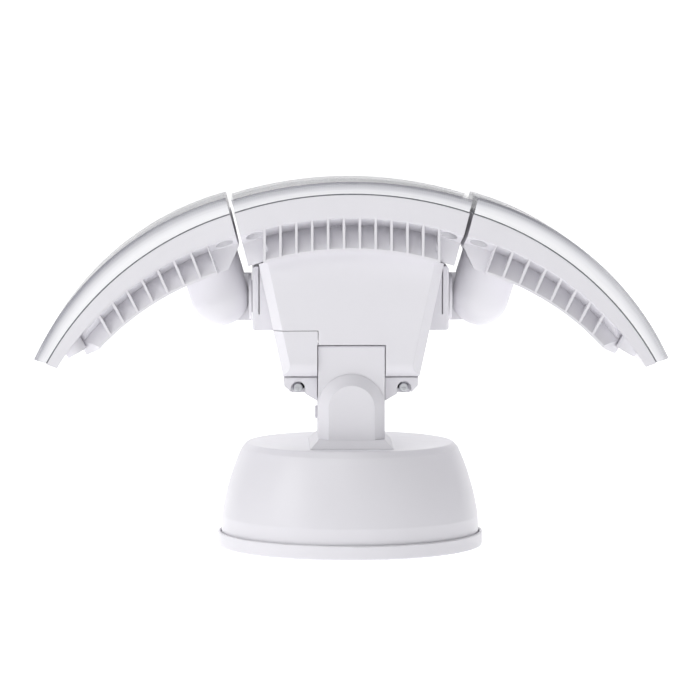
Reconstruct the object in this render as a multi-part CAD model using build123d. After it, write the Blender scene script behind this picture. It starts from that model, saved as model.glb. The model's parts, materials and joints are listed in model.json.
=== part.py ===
from build123d import *
import os
from math import cos, hypot, radians, sin

# Floodlight security camera, all sizes in millimetres.
# Origin: centre of the wall face. +Z points out of the wall, along the base's axis.
# -Y is the side that faces the sky when it is mounted, +Y faces the ground, X runs left to right.

# ---------------------------------------------------------------- fits and walls
CASE_GAP = 0.25           # open joint line between two casings
SEAT_GAP = 0.05           # clearance of a piece that drops into a seat
RUN_CLEARANCE = 0.05      # radial clearance of a turning shaft
MOVE_GAP = 0.4            # air between faces that pass each other
CASE_WALL = 2.4           # moulded casing wall
SCREW_CORE_R = 1.4        # shank of the casing screws
SCREW_HEAD_R = 2.9
SCREW_HEAD_H = 2.0

# ---------------------------------------------------------------- base on the wall
BASE_R = 66.0             # flange, outer
LIP_HEIGHT = 7.2
LIP_THICKNESS = 1.4
PLATE_FLOOR = 3.0
GASKET_R_OUT = 61.0
GASKET_R_IN = 54.0
GASKET_DEPTH = 1.5
CABLE_HOLE_R = 11.0
BOX_SCREW_SPACING = 89.0  # screws of a 4 inch round or octagonal box
BOX_SLOT_WIDTH = 5.0
BOX_SLOT_LENGTH = 12.0
CANOPY_HEIGHT = 51.4      # flat top of the canopy above the wall
CANOPY_LIP_GAP = 0.25     # canopy wall inside the plate's lip
CANOPY_DRAFT = 0.5        # from its foot to where its wall starts to curve in
CANOPY_WAIST_Z = 15.0
CANOPY_BELLY_R = 60.2
CANOPY_BELLY_Z = 32.0
CANOPY_SHOULDER_R = 54.0
CANOPY_SHOULDER_Z = 48.6
CANOPY_TOP_R = 51.3
BRACKET_THICKNESS = 2.0
BRACKET_WIDTH = 26.0
BRACKET_LENGTH = 108.0
BRACKET_TAB_WIDTH = 16.0
BRACKET_TAB_HEIGHT = 16.0
LOCK_SCREW_Z = 13.0

# ---------------------------------------------------------------- arm and tilt hinge
ARM_WIDTH = 32.8
ARM_FRONT_Y = -35.0       # face of the raised arch
ARM_BLOCK_Y = -28.4       # flat face behind the arch
ARM_BACK_Y = 12.0
ARM_WALL = 2.8
ARCH_CENTRE_Z = 71.0
ARCH_BEVEL_SIDE = 5.1
ARCH_BEVEL_DEPTH = 6.0
FOOT_FLARE = 4.1
HINGE_Y = -9.6
HINGE_Z = 84.4
HINGE_BLOCK_R = 17.0
SHOULDER_EDGE_R = 1.0     # top front edge of the arm, where the head's roof comes to rest
ARM_SCREW_MARGIN = 1.0
ARM_SCREW_GRIP = 8.0
SIDE_SCREW_HEAD_H = 1.3
HINGE_BOLT_R = 3.0
HINGE_WASHER_R = 6.6
HINGE_WASHER_THICKNESS = 1.0
HINGE_HEAD_R = 5.5
HINGE_HEAD_H = 3.0
HINGE_CHEEK = 3.0         # head wall on each side of the arm
HINGE_BOLT_END = 0.8      # bolt beyond its nut
ARM_COVER_THICKNESS = 2.2
ARM_COVER_LOW_Z = 57.0
ARM_COVER_TOP_Z = 67.5
ARM_SIDE_SCREW_Y = -8.0
ARM_SIDE_SCREW_Z = 67.0
ARM_SIDE_SCREW_R = 3.2

# ---------------------------------------------------------------- head casing
HEAD_FRONT_Y = -30.0
HEAD_SPLIT_Y = 0.0
HEAD_BACK_Y = 34.0
HEAD_LOW_Z = 86.0
HEAD_SIDE_MARGIN = 17.2   # head's half width at its lower edge, beyond the arm's side
HEAD_FLARE = 0.214        # widening of each side per unit of height
HEAD_BEVEL_SIDE = 4.6
HEAD_BEVEL_DEPTH = 4.0
HEAD_CURL_R = 7.0
HEAD_TOP_GAP = 0.3        # under the centre heat sink
NOTCH_CLEARANCE = 0.4     # each side of the arm
NOTCH_TOP_Z = 101.9
CHIN_FRONT_Y = -22.0
CHIN_SIDE_STEP = 0.6      # the chin stands in from the head's sides
CHIN_LOW_Z = 77.2
CHIN_MID_Z = 73.7
CHIN_CHAMFER = 4.0
CHIN_SCREW_MARGIN = 9.8   # screw axis beyond the arm's side, outside the hinge bolt's ends
CHIN_SCREW_Z = 79.8
CHIN_SCREW_DEPTH = 7.5
CHIN_SCREW_GRIP = 6.0
CHIN_SCREW_HEAD_R = 2.4
CHIN_BORE_R = 3.5
CHIN_LEDGE = 1.0          # bevel along the chin's top front edge
ACCESS_TOP_Z = 109.0
EAR_OUT_X = 48.6
EAR_ROOT = 6.0            # part of the ear inside the head's side
EAR_LOW_Z = 108.0
EAR_TOP_Z = 139.6
EAR_HALF_DEPTH = 14.5
EAR_SLOT_X = 45.3
EAR_SLOT_WIDTH = 0.6
EAR_SLOT_LOW_Z = 116.0

# ---------------------------------------------------------------- necks and knuckles
NECK_X = 64.4             # swing axis, from the middle
NECK_Z = 124.0            # height of both neck axes
NECK_SHAFT_R = 8.0
NECK_COLLAR_R = 11.7
NECK_COLLAR_THICKNESS = 1.6
TONGUE_THICKNESS = 6.4
TONGUE_REACH = 45.0       # cutters for the tongue's sweep and the knuckle's stub
KNUCKLE_R = 14.8
KNUCKLE_TILT = 17.0       # lean of the knuckle towards its panel
SWING_PIN_R = 2.5
SWING_PIN_START_Y = -10.0 # blind end, inside the knuckle's sky side
SWING_PIN_LENGTH = 24.0
SWING_LIMIT = 28.0        # the tongue's slot is open over this turn
RETAINER_THICKNESS = 1.6
RETAINER_R = 10.5
RETAINER_GRIP = 1.2       # depth of the ring's groove in the shaft

# ---------------------------------------------------------------- light panels
# An arc is (centre x, centre z, radius), seen along Y.
PANEL_HALF_DEPTH = 38.0
PANEL_GAP = 2.0           # between the centre panel and each side panel
PANEL_WALL = 2.2
PANEL_FLOOR = 3.0
OUTLINE_LOW_Z = 120.0     # end lines are drawn between these heights, past every arc
OUTLINE_HIGH_Z = 200.0
OUTLINE_FAR_X = -200.0
OUTLINE_FOOT_X = -100.0
OUTLINE_FIN_X = -110.0
CENTRE_LENS_ARC = (0.0, -17.7, 200.0)
CENTRE_SEAM_ARC = (0.0, -8.7, 184.7)
CENTRE_BAND_ARC = (0.0, -8.0, 173.2)
CENTRE_FIN_ARC = (0.0, -8.0, 156.7)
CENTRE_END_X = 57.4       # end of the centre panel at the seam
CENTRE_END_Z = 166.7
PANEL_END_SLOPE = 0.257   # sideways lean of the panel ends per unit of height
CENTRE_RIBS = 12
CENTRE_RIB_PITCH = 7.75
RIB_THICKNESS = 1.3
WING_LENS_ARC = (-24.2, 35.0, 144.5)
WING_SEAM_ARC = (-13.1, 18.0, 155.5)
WING_BAND_ARC = (-20.6, 16.3, 144.5)
WING_FIN_ARC = (-24.5, 8.7, 135.0)
WING_TIP = (-155.4, 95.5)     # lens corner at the outer end
WING_TIP_SLOPE = -0.357       # fall of the outer end face per unit of X
WING_FIN_ROOT = ((-64.3, 130.0), (-50.8, 160.0))
WING_FIN_CORNER = (-123.1, 101.0)
WING_WEB_REACH = 8.0          # sloped end of the fins, along the panel and in depth
WING_WEB_DEPTH = 10.5
WING_RIBS = 8
WING_RIB_START = 17.6         # degrees round the fin arc, first and last rib
WING_RIB_END = 43.5
WING_RIB_LEAN_START = 20.0    # lean of the first and last rib from the vertical
WING_RIB_LEAN_END = 30.0
FIN_INSET = 1.3               # fins stand back from the band's face
GROOVE_DEPTH = 11.0           # pockets between the ribs
GROOVE_DROP = 4.8
GROOVE_LIP = 1.2
LENS_INSET = 0.5
LENS_WALL = 2.0
LENS_BEVEL = 1.2
SEAL_THICKNESS = 0.6
SEAL_WIDTH = 1.8
LED_BOARD_THICKNESS = 1.6
REFLECTOR_THICKNESS = 1.0
REFLECTOR_DROP = 0.8          # below the seam
REFLECTOR_RIM = 12.0
REFLECTOR_SIDE_RIM = 3.0
LED_SIZE = 3.0
LED_HEIGHT = 0.9
LED_COLUMNS = 6
LED_ROW_PITCH = 12.0
PANEL_SCREW_R = 2.0
PANEL_SCREW_HEAD_R = 3.6
PANEL_SCREW_HEAD_H = 2.2
PANEL_SCREW_BORE_R = 4.3
PANEL_PILLAR_WALL = 1.2
PANEL_PILLAR_HEIGHT = 3.0     # above the panel's floor
PANEL_SCREW_SEAT = 1.0        # screw heads rest this far above the band's lower edge
PANEL_BORE_REACH = 12.0       # the screw's wide bore runs this far below that edge
PANEL_SCREW_INSET_Y = 6.6
CENTRE_SCREW_X = 48.3
WING_ROOT_SCREW_X = -63.0
WING_TIP_SCREW_X = -136.6
WING_TIP_BOSS_WALL = 0.9
WING_TIP_BOSS_DROP = 4.6      # boss below the band

# ---------------------------------------------------------------- camera pod
POD_R = 29.0
POD_PANEL_GAP = 2.0       # between the pod and the centre panel
POD_LOW_Z = 98.0
POD_FACE_Z = 158.0
POD_CAP_HEIGHT = 4.0
POD_NECK_HALF_WIDTH = 19.0
POD_NECK_LOW_Z = 106.0
POD_NECK_TOP_Z = 138.0
POD_PASSAGE_R = 7.0
BEZEL_HEIGHT = 4.6
BEZEL_EDGE_R = 2.4
WINDOW_R = 24.0
WINDOW_THICKNESS = 2.0
BARREL_R = 8.5
BARREL_LENGTH = 15.0
LENS_GLASS_R = 6.6
IR_LED_COUNT = 6
IR_LED_RING_R = 16.5
IR_LED_R = 2.6
IR_LED_HEIGHT = 3.0
SENSOR_BOARD_SIZE = 36.0
PIR_R = 13.0
PIR_Z = 128.0
PIR_REACH = 6.0           # how far the motion lens stands out of the pod
SPEAKER_R = 14.0
SPEAKER_DEPTH = 7.0
GRILLE_HOLE_R = 1.0
GRILLE_PITCH = 3.6
BUTTON_R = 3.2
BUTTON_LENGTH = 5.0
BUTTON_PROUD = 0.9        # stands out of the cap by more than its 0.8 travel
BUTTON_Y_OFFSET = 19.6
LENS_GLASS_DEPTH = 4.0        # the glass sits this deep in the barrel's mouth
LENS_GLASS_HEIGHT = 3.2
BARREL_BORE_R = 3.0
PIR_ROOT = 6.0                # part of the motion lens inside the pod
PIR_SKIN = 1.2

# ---------------------------------------------------------------- boards inside the head
BOARD_THICKNESS = 1.6
BOARD_WIDTH = 56.0
BOARD_HEIGHT = 32.0
BOARD_Y = 14.0
BOARD_Z = 121.0
DRIVER_SIZE = (46.0, 16.0, 24.0)

# derived values
CANOPY_FOOT_R = BASE_R - LIP_THICKNESS - CANOPY_LIP_GAP
CANOPY_WAIST_R = CANOPY_FOOT_R - CANOPY_DRAFT
POD_Y = PANEL_HALF_DEPTH + POD_PANEL_GAP + POD_R
ARM_HALF = ARM_WIDTH / 2
HEAD_LOW_HALF_WIDTH = ARM_HALF + HEAD_SIDE_MARGIN
CHIN_HALF_WIDTH = HEAD_LOW_HALF_WIDTH - CHIN_SIDE_STEP
CHIN_MID_HALF_WIDTH = ARM_HALF + NOTCH_CLEARANCE
CHIN_SCREW_X = ARM_HALF + CHIN_SCREW_MARGIN
NOTCH_HALF = ARM_HALF + NOTCH_CLEARANCE
SHELL_OVER = 50.0         # cutters run this far past what they cut


# ================================================================ small shape helpers
def block(x_low, x_high, y_low, y_high, z_low, z_high):
    """A box between two corners."""
    size = (x_high - x_low, y_high - y_low, z_high - z_low)
    middle = ((x_low + x_high) / 2, (y_low + y_high) / 2, (z_low + z_high) / 2)
    return Pos(*middle) * Box(*size)


def rod(radius, start, direction, length):
    """A cylinder that starts at a point and runs along a direction."""
    return extrude(Plane(origin=start, z_dir=direction) * Circle(radius), length)


def tube(r_out, r_in, start, direction, length):
    ring = Circle(r_out) - Circle(r_in)
    return extrude(Plane(origin=start, z_dir=direction) * ring, length)


def polygon(points):
    return make_face(Polyline(*points, close=True).edges())


def prism_y(face, y_low, y_high):
    """A face drawn in X and Z, drawn out from y_low to y_high."""
    return extrude(Plane.XZ.offset(-y_high) * face, y_high - y_low)


def disc(arc, grow=0.0):
    centre_x, centre_z, radius = arc
    return Pos(centre_x, centre_z) * Circle(radius + grow)


def between(outer, inner, outer_grow=0.0, inner_grow=0.0):
    """The band between two arcs."""
    return disc(outer, outer_grow) - disc(inner, inner_grow)


def mirrored(shape):
    return mirror(shape, about=Plane.YZ)


def both_sides(shape):
    """A shape and its mirror image across the middle plane, as one group."""
    return Compound(children=[shape, mirrored(shape)])


def arc_point(arc, x):
    """The point of an arc's upper half at a given x."""
    centre_x, centre_z, radius = arc
    return x, centre_z + (radius ** 2 - (x - centre_x) ** 2) ** 0.5


def outward(arc, x):
    """Unit direction away from an arc's centre at a given x."""
    centre_x, centre_z, radius = arc
    point_x, point_z = arc_point(arc, x)
    return (point_x - centre_x) / radius, (point_z - centre_z) / radius


def pan_screw(head_r, head_h, core_r, core_length, start, direction):
    """A pan head with a cross recess; the shank runs from start along direction."""
    local = Plane(origin=start, z_dir=direction)
    head = extrude(Circle(head_r), -head_h)
    head = fillet(head.faces().sort_by(Axis.Z)[0].edges(), head_h * 0.35)
    shank = extrude(Circle(core_r), core_length)
    recess_depth = head_h * 0.55
    arm = Rectangle(head_r, head_r * 0.22)
    cross = extrude(Pos(0, 0, -head_h) * (arm + Rot(0, 0, 90) * arm), recess_depth)
    return local * (head + shank - cross)


# ================================================================ base
def make_wall_plate():
    plate = Cylinder(BASE_R, LIP_HEIGHT, align=(Align.CENTER, Align.CENTER, Align.MIN))
    plate -= Pos(0, 0, PLATE_FLOOR) * Cylinder(
        BASE_R - LIP_THICKNESS, LIP_HEIGHT, align=(Align.CENTER, Align.CENTER, Align.MIN))
    plate = fillet(plate.edges().filter_by(GeomType.CIRCLE).group_by(Axis.Z)[-1], LIP_THICKNESS * 0.4)
    plate = fillet(plate.edges().filter_by(GeomType.CIRCLE).group_by(Axis.Z)[0], 0.8)
    plate -= tube(GASKET_R_OUT, GASKET_R_IN, (0, 0, 0), (0, 0, 1), GASKET_DEPTH)
    plate -= rod(CABLE_HOLE_R, (0, 0, 0), (0, 0, 1), LIP_HEIGHT)
    return plate - box_slots(LIP_HEIGHT)


def make_wall_gasket():
    return tube(GASKET_R_OUT, GASKET_R_IN, (0, 0, 0), (0, 0, 1), GASKET_DEPTH)


def box_slots(height):
    """The two slots that the junction box's screws pass through."""
    slot = SlotOverall(BOX_SLOT_LENGTH, BOX_SLOT_WIDTH)
    return Compound(children=[
        extrude(Pos(side * BOX_SCREW_SPACING / 2, 0, 0) * slot, height) for side in (-1, 1)])


def make_mounting_bracket():
    low = PLATE_FLOOR
    top = PLATE_FLOOR + BRACKET_THICKNESS
    reach = tab_outer_y()
    strip = extrude(Pos(0, 0, low) * RectangleRounded(BRACKET_LENGTH, BRACKET_WIDTH, 4), BRACKET_THICKNESS)
    foot = block(-BRACKET_TAB_WIDTH / 2, BRACKET_TAB_WIDTH / 2, 0, reach, low, top)
    tab = block(-BRACKET_TAB_WIDTH / 2, BRACKET_TAB_WIDTH / 2,
                reach - BRACKET_THICKNESS, reach, low, low + BRACKET_TAB_HEIGHT)
    bracket = strip + foot + tab
    bracket -= rod(SCREW_CORE_R, (0, 0, LOCK_SCREW_Z), (0, 1, 0), BASE_R)
    bracket -= rod(CABLE_HOLE_R, (0, 0, low), (0, 0, 1), BRACKET_THICKNESS)
    return bracket - Pos(0, 0, low) * box_slots(BRACKET_THICKNESS)


def tab_outer_y():
    """Outer face of the bracket's tab, just inside the canopy wall."""
    return CANOPY_BELLY_R - CASE_WALL - MOVE_GAP


def canopy_profile(inset):
    """Half section of the canopy, shrunk by inset."""
    foot = (CANOPY_FOOT_R - inset, PLATE_FLOOR)
    waist = (CANOPY_WAIST_R - inset, CANOPY_WAIST_Z)
    belly = (CANOPY_BELLY_R - inset, CANOPY_BELLY_Z - inset * 0.15)
    shoulder = (CANOPY_SHOULDER_R - inset, CANOPY_SHOULDER_Z - inset * 0.6)
    top = CANOPY_HEIGHT - inset
    edges = [
        Line((0, PLATE_FLOOR), foot),
        Line(foot, waist),
        ThreePointArc(waist, belly, shoulder),
        Line(shoulder, (CANOPY_TOP_R - inset, top)),
        Line((CANOPY_TOP_R - inset, top), (0, top)),
        Line((0, top), (0, PLATE_FLOOR)),
    ]
    return make_face(edges)


def make_base_canopy():
    outer = revolve(Plane.XZ * canopy_profile(0), Axis.Z)
    rim = outer.edges().filter_by(GeomType.CIRCLE).sort_by(Axis.Z)[-2:]
    outer = fillet(rim, 0.9)
    inner = revolve(Plane.XZ * canopy_profile(CASE_WALL), Axis.Z)
    canopy = outer - inner
    canopy -= rod(ARM_HALF * 0.5, (0, arm_middle_y(), 0), (0, 0, 1), CANOPY_HEIGHT)
    canopy -= rod(SCREW_CORE_R + CASE_GAP, (0, 0, LOCK_SCREW_Z), (0, 1, 0), BASE_R)
    for x, y in arm_screw_places():
        canopy -= rod(SCREW_CORE_R, (x, y, 0), (0, 0, 1), CANOPY_HEIGHT)
    return canopy


def make_canopy_lock_screw():
    reach = CANOPY_FOOT_R
    length = reach - tab_outer_y() + BRACKET_THICKNESS
    return pan_screw(SCREW_HEAD_R, SCREW_HEAD_H, SCREW_CORE_R, length,
                     (0, reach, LOCK_SCREW_Z), (0, -1, 0))


# ================================================================ arm
def arm_middle_y():
    return (ARM_BLOCK_Y + ARM_BACK_Y) / 2


def arm_screw_places():
    """The four screws that hold the arm's foot, seen from inside the canopy."""
    x = ARM_HALF - ARM_WALL - SCREW_CORE_R
    return [(side * x, y) for side in (-1, 1) for y in (ARM_BLOCK_Y + ARM_WALL, ARM_BACK_Y - 2 * ARM_WALL)]


def arch_face():
    """Bullet-shaped outline of the arm's raised front."""
    sides = polygon([(-ARM_HALF, CANOPY_HEIGHT), (ARM_HALF, CANOPY_HEIGHT),
                     (ARM_HALF, ARCH_CENTRE_Z), (-ARM_HALF, ARCH_CENTRE_Z)])
    upper_half = Circle(ARM_HALF) & (Pos(0, ARM_HALF / 2) * Rectangle(ARM_WIDTH, ARM_HALF))
    return sides + Pos(0, ARCH_CENTRE_Z) * upper_half


def make_arch():
    arch = prism_y(arch_face(), ARM_FRONT_Y, HINGE_Y)
    front = arch.faces().sort_by(Axis.Y)[0]
    rim = [edge for edge in front.edges() if edge.center().Z > CANOPY_HEIGHT + 1]
    return chamfer(rim, ARCH_BEVEL_SIDE, ARCH_BEVEL_DEPTH, reference=front)


def make_foot():
    """45 degree flare at the bottom of the arm."""
    depth = ARM_BACK_Y - ARM_FRONT_Y
    middle = (ARM_BACK_Y + ARM_FRONT_Y) / 2
    low = Pos(0, middle, CANOPY_HEIGHT) * Rectangle(ARM_WIDTH + 2 * FOOT_FLARE, depth + 2 * FOOT_FLARE)
    high = Pos(0, middle, CANOPY_HEIGHT + FOOT_FLARE) * Rectangle(ARM_WIDTH, depth)
    return loft([low.face(), high.face()])


def make_arm():
    column = block(-ARM_HALF, ARM_HALF, ARM_BLOCK_Y, ARM_BACK_Y, CANOPY_HEIGHT, HINGE_Z)
    shoulder = block(-ARM_HALF, ARM_HALF, ARM_BLOCK_Y, HINGE_Y, HINGE_Z, HINGE_Z + HINGE_BLOCK_R)
    hinge = rod(HINGE_BLOCK_R, (-ARM_HALF, HINGE_Y, HINGE_Z), (1, 0, 0), ARM_WIDTH)
    arm = column + shoulder + hinge
    front_top = arm.edges().filter_by(Axis.X).group_by(Axis.Y)[0].sort_by(Axis.Z)[-1]
    arm = fillet(front_top, SHOULDER_EDGE_R) + make_arch() + make_foot()
    hollow_half = ARM_HALF - ARM_WALL - 2 * SCREW_CORE_R - ARM_SCREW_MARGIN
    hollow_top = HINGE_Z - HINGE_BOLT_R - ARM_WALL
    arm -= block(-hollow_half, hollow_half, ARM_BLOCK_Y, ARM_BACK_Y + FOOT_FLARE,
                 CANOPY_HEIGHT, hollow_top)
    arm -= block(-ARM_HALF + ARM_WALL, ARM_HALF - ARM_WALL, ARM_BACK_Y - 1.0, HINGE_BLOCK_R + SHELL_OVER,
                 ARM_COVER_LOW_Z, ARM_COVER_TOP_Z)
    arm -= rod(HINGE_BOLT_R, (-ARM_HALF, HINGE_Y, HINGE_Z), (1, 0, 0), ARM_WIDTH)
    arm -= rod(SCREW_CORE_R, (-ARM_HALF, ARM_SIDE_SCREW_Y, ARM_SIDE_SCREW_Z), (1, 0, 0), ARM_WALL * 2)
    for x, y in arm_screw_places():
        arm -= rod(SCREW_CORE_R, (x, y, CANOPY_HEIGHT), (0, 0, 1), ARM_SCREW_GRIP + 1)
    return arm


def make_arm_rear_cover():
    half = ARM_HALF - ARM_WALL - SEAT_GAP
    low = ARM_COVER_LOW_Z + SEAT_GAP
    cover = block(-half, half, ARM_BACK_Y - 1.0, ARM_BACK_Y - 1.0 + ARM_COVER_THICKNESS,
                  low, ARM_COVER_TOP_Z - SEAT_GAP)
    return fillet(cover.faces().sort_by(Axis.Y)[-1].edges(), 0.6)


def make_arm_side_screw():
    """Low round head on the arm's left side."""
    return pan_screw(ARM_SIDE_SCREW_R, SIDE_SCREW_HEAD_H, SCREW_CORE_R, ARM_WALL * 2,
                     (-ARM_HALF, ARM_SIDE_SCREW_Y, ARM_SIDE_SCREW_Z), (1, 0, 0))


def make_arm_screws():
    seat = CANOPY_HEIGHT - CASE_WALL
    return Compound(children=[
        pan_screw(SCREW_HEAD_R, SCREW_HEAD_H, SCREW_CORE_R, CASE_WALL + ARM_SCREW_GRIP,
                  (x, y, seat), (0, 0, 1))
        for x, y in arm_screw_places()])


def make_hinge_bolt():
    reach = hinge_seat_x()
    bolt = rod(HINGE_BOLT_R, (-reach, HINGE_Y, HINGE_Z), (1, 0, 0), 2 * reach + HINGE_HEAD_H + HINGE_BOLT_END)
    head = rod(HINGE_HEAD_R, (-reach - HINGE_HEAD_H, HINGE_Y, HINGE_Z), (1, 0, 0), HINGE_HEAD_H)
    head = fillet(head.edges().sort_by(Axis.X)[0], 1.0)
    socket = extrude(Plane(origin=(-reach - HINGE_HEAD_H, HINGE_Y, HINGE_Z), z_dir=(1, 0, 0))
                     * RegularPolygon(HINGE_HEAD_R * 0.45, 6), HINGE_HEAD_H * 0.6)
    return bolt + head - socket


def make_hinge_nut():
    face = Plane(origin=(hinge_seat_x(), HINGE_Y, HINGE_Z), z_dir=(1, 0, 0))
    return extrude(face * (RegularPolygon(HINGE_HEAD_R, 6) - Circle(HINGE_BOLT_R)), HINGE_HEAD_H)


def cheek_outer_x():
    """Outer face of the head's two cheeks, on which the hinge washers lie."""
    return NOTCH_HALF + HINGE_CHEEK


def hinge_seat_x():
    return cheek_outer_x() + HINGE_WASHER_THICKNESS + 2 * SEAT_GAP


def make_hinge_washers():
    start = cheek_outer_x() + SEAT_GAP
    washer = tube(HINGE_WASHER_R, HINGE_BOLT_R + RUN_CLEARANCE, (start, HINGE_Y, HINGE_Z), (1, 0, 0),
                  HINGE_WASHER_THICKNESS)
    return both_sides(washer)


# ================================================================ head casing
def head_side_x(z, inset=0.0):
    return HEAD_LOW_HALF_WIDTH + HEAD_FLARE * (z - HEAD_LOW_Z) - inset


def head_face(inset=0.0):
    """Front outline of the head: flared sides, arched top under the heat sink."""
    low = HEAD_LOW_Z + inset
    high = CENTRE_FIN_ARC[1] + CENTRE_FIN_ARC[2] + SHELL_OVER
    sides = polygon([(-head_side_x(low, inset), low), (head_side_x(low, inset), low),
                     (head_side_x(high, inset), high), (-head_side_x(high, inset), high)])
    return sides & disc(CENTRE_FIN_ARC, -HEAD_TOP_GAP - inset)


def arm_notch():
    """Free space for the hinge block and the arm through the head."""
    return block(-NOTCH_HALF, NOTCH_HALF, -SHELL_OVER, SHELL_OVER, 0, NOTCH_TOP_Z)


def ear_space(gap):
    """The room that both ears take in the casings."""
    side = block(ear_inner_x() - gap, EAR_OUT_X + SHELL_OVER, -EAR_HALF_DEPTH - gap, EAR_HALF_DEPTH + gap,
                 EAR_LOW_Z - gap, EAR_TOP_Z + SHELL_OVER)
    return side + mirrored(side)


def make_whole_top_cover():
    outer = prism_y(head_face(), HEAD_FRONT_Y, HEAD_SPLIT_Y - CASE_GAP / 2)
    front = outer.faces().sort_by(Axis.Y)[0]
    slanted = [edge for edge in front.edges().filter_by(GeomType.LINE)
               if abs(edge.tangent_at(0.5).Z) > 0.5]
    outer = chamfer(slanted, HEAD_BEVEL_SIDE, HEAD_BEVEL_DEPTH, reference=front)
    outer = fillet(front_low_edge(outer), HEAD_CURL_R)
    inner = prism_y(head_face(CASE_WALL), HEAD_FRONT_Y + CASE_WALL, HEAD_SPLIT_Y)
    inner = chamfer([edge for edge in inner.faces().sort_by(Axis.Y)[0].edges().filter_by(GeomType.LINE)
                     if abs(edge.tangent_at(0.5).Z) > 0.5], HEAD_BEVEL_SIDE, HEAD_BEVEL_DEPTH,
                    reference=inner.faces().sort_by(Axis.Y)[0])
    inner = fillet(front_low_edge(inner), HEAD_CURL_R - CASE_WALL)
    return outer - inner - arm_notch() - ear_space(CASE_GAP) - chin_room()


def front_low_edge(shape):
    """The lowest edge along X on the shape's front."""
    return shape.edges().filter_by(Axis.X).group_by(Axis.Z)[0].sort_by(Axis.Y)[0]


def chin_room():
    """The chin of the rear housing passes behind the cover's lower edge."""
    return block(-CHIN_HALF_WIDTH - CASE_GAP, CHIN_HALF_WIDTH + CASE_GAP,
                 CHIN_FRONT_Y - CASE_GAP, SHELL_OVER, 0, HEAD_LOW_Z + CASE_WALL + CASE_GAP)


def access_region(gap):
    return block(-NOTCH_HALF * 4, -NOTCH_HALF + CASE_GAP, -SHELL_OVER, 0, 0, ACCESS_TOP_Z - gap)


def make_head_top_cover():
    return largest(make_whole_top_cover() - access_region(0) - access_slit())


def access_slit():
    """The open line over the notch's left side, up to the access cover's seam."""
    return block(-NOTCH_HALF, -NOTCH_HALF + 2 * CASE_GAP, -SHELL_OVER, 0, NOTCH_TOP_Z - 1, ACCESS_TOP_Z)


def make_access_cover():
    return largest(make_whole_top_cover() & access_region(CASE_GAP))


def largest(shape):
    return shape.solids().sort_by(SortBy.VOLUME)[-1]


def chin_face():
    """Front outline of the lower part of the rear housing."""
    half = CHIN_HALF_WIDTH
    side = [(half, HEAD_LOW_Z), (half, CHIN_LOW_Z + CHIN_CHAMFER),
            (half - CHIN_CHAMFER, CHIN_LOW_Z), (CHIN_SCREW_X - CHIN_BORE_R, CHIN_LOW_Z),
            (CHIN_MID_HALF_WIDTH, CHIN_MID_Z)]
    return polygon(side + [(-x, z) for x, z in reversed(side)])


def make_head_housing():
    upper = prism_y(head_face(), HEAD_SPLIT_Y + CASE_GAP / 2, HEAD_BACK_Y)
    back = upper.faces().sort_by(Axis.Y)[-1]
    upper = fillet(back.edges(), 2.0)
    chin = prism_y(chin_face(), CHIN_FRONT_Y, HEAD_BACK_Y)
    chin_front = chin.faces().sort_by(Axis.Y)[0]
    chin = chamfer(chin_front.edges().sort_by(Axis.Z)[-1], CHIN_LEDGE)
    hollow = prism_y(head_face(CASE_WALL), HEAD_SPLIT_Y - 1, HEAD_BACK_Y - CASE_WALL)
    housing = upper + chin - hollow
    housing -= chin_hollow()
    housing += cheek_walls() & (upper + chin)
    housing -= arm_notch() + ear_space(CASE_GAP)
    housing -= rod(HINGE_BOLT_R + RUN_CLEARANCE, (-SHELL_OVER, HINGE_Y, HINGE_Z), (1, 0, 0), 2 * SHELL_OVER)
    housing -= both_sides(chin_screw_bore())
    housing -= pod_passage()
    return largest(housing)


def chin_hollow():
    """Room inside the chin, outside the cheeks, for the hinge bolt's ends."""
    inner = cheek_outer_x()
    outer = CHIN_HALF_WIDTH - CASE_WALL * 0.8
    low = CHIN_LOW_Z + CHIN_CHAMFER
    side = block(inner, outer, CHIN_FRONT_Y + CHIN_SCREW_DEPTH + CHIN_SCREW_GRIP, HEAD_BACK_Y - CASE_WALL,
                 low, HEAD_LOW_Z + CASE_WALL)
    bolt_reach = hinge_seat_x() + HINGE_HEAD_H + HINGE_BOLT_END + SEAT_GAP
    side += rod(HINGE_WASHER_R + MOVE_GAP, (inner, HINGE_Y, HINGE_Z), (1, 0, 0), bolt_reach - inner)
    return side + mirrored(side)


def cheek_walls():
    """Walls on both sides of the arm's notch, and the roof over it."""
    inner = NOTCH_HALF
    side = block(inner, cheek_outer_x(), CHIN_FRONT_Y, HEAD_BACK_Y, CHIN_MID_Z,
                 NOTCH_TOP_Z + CASE_WALL)
    roof = block(-cheek_outer_x(), cheek_outer_x(), CHIN_FRONT_Y, HEAD_BACK_Y,
                 NOTCH_TOP_Z, NOTCH_TOP_Z + CASE_WALL)
    return side + mirrored(side) + roof


def chin_screw_bore():
    start = (CHIN_SCREW_X, CHIN_FRONT_Y, CHIN_SCREW_Z)
    wide = rod(CHIN_BORE_R, start, (0, 1, 0), CHIN_SCREW_DEPTH)
    slim = rod(SCREW_CORE_R, start, (0, 1, 0), CHIN_SCREW_DEPTH + CHIN_SCREW_GRIP)
    below = block(CHIN_SCREW_X - CHIN_BORE_R, CHIN_SCREW_X + CHIN_BORE_R,
                  CHIN_FRONT_Y, CHIN_FRONT_Y + CHIN_SCREW_DEPTH, CHIN_MID_Z, CHIN_SCREW_Z)
    return wide + slim + below


def make_housing_screws():
    seat = (CHIN_SCREW_X, CHIN_FRONT_Y + CHIN_SCREW_DEPTH, CHIN_SCREW_Z)
    screw = pan_screw(CHIN_SCREW_HEAD_R, SCREW_HEAD_H, SCREW_CORE_R, CHIN_SCREW_GRIP, seat, (0, 1, 0))
    return both_sides(screw)


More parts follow.
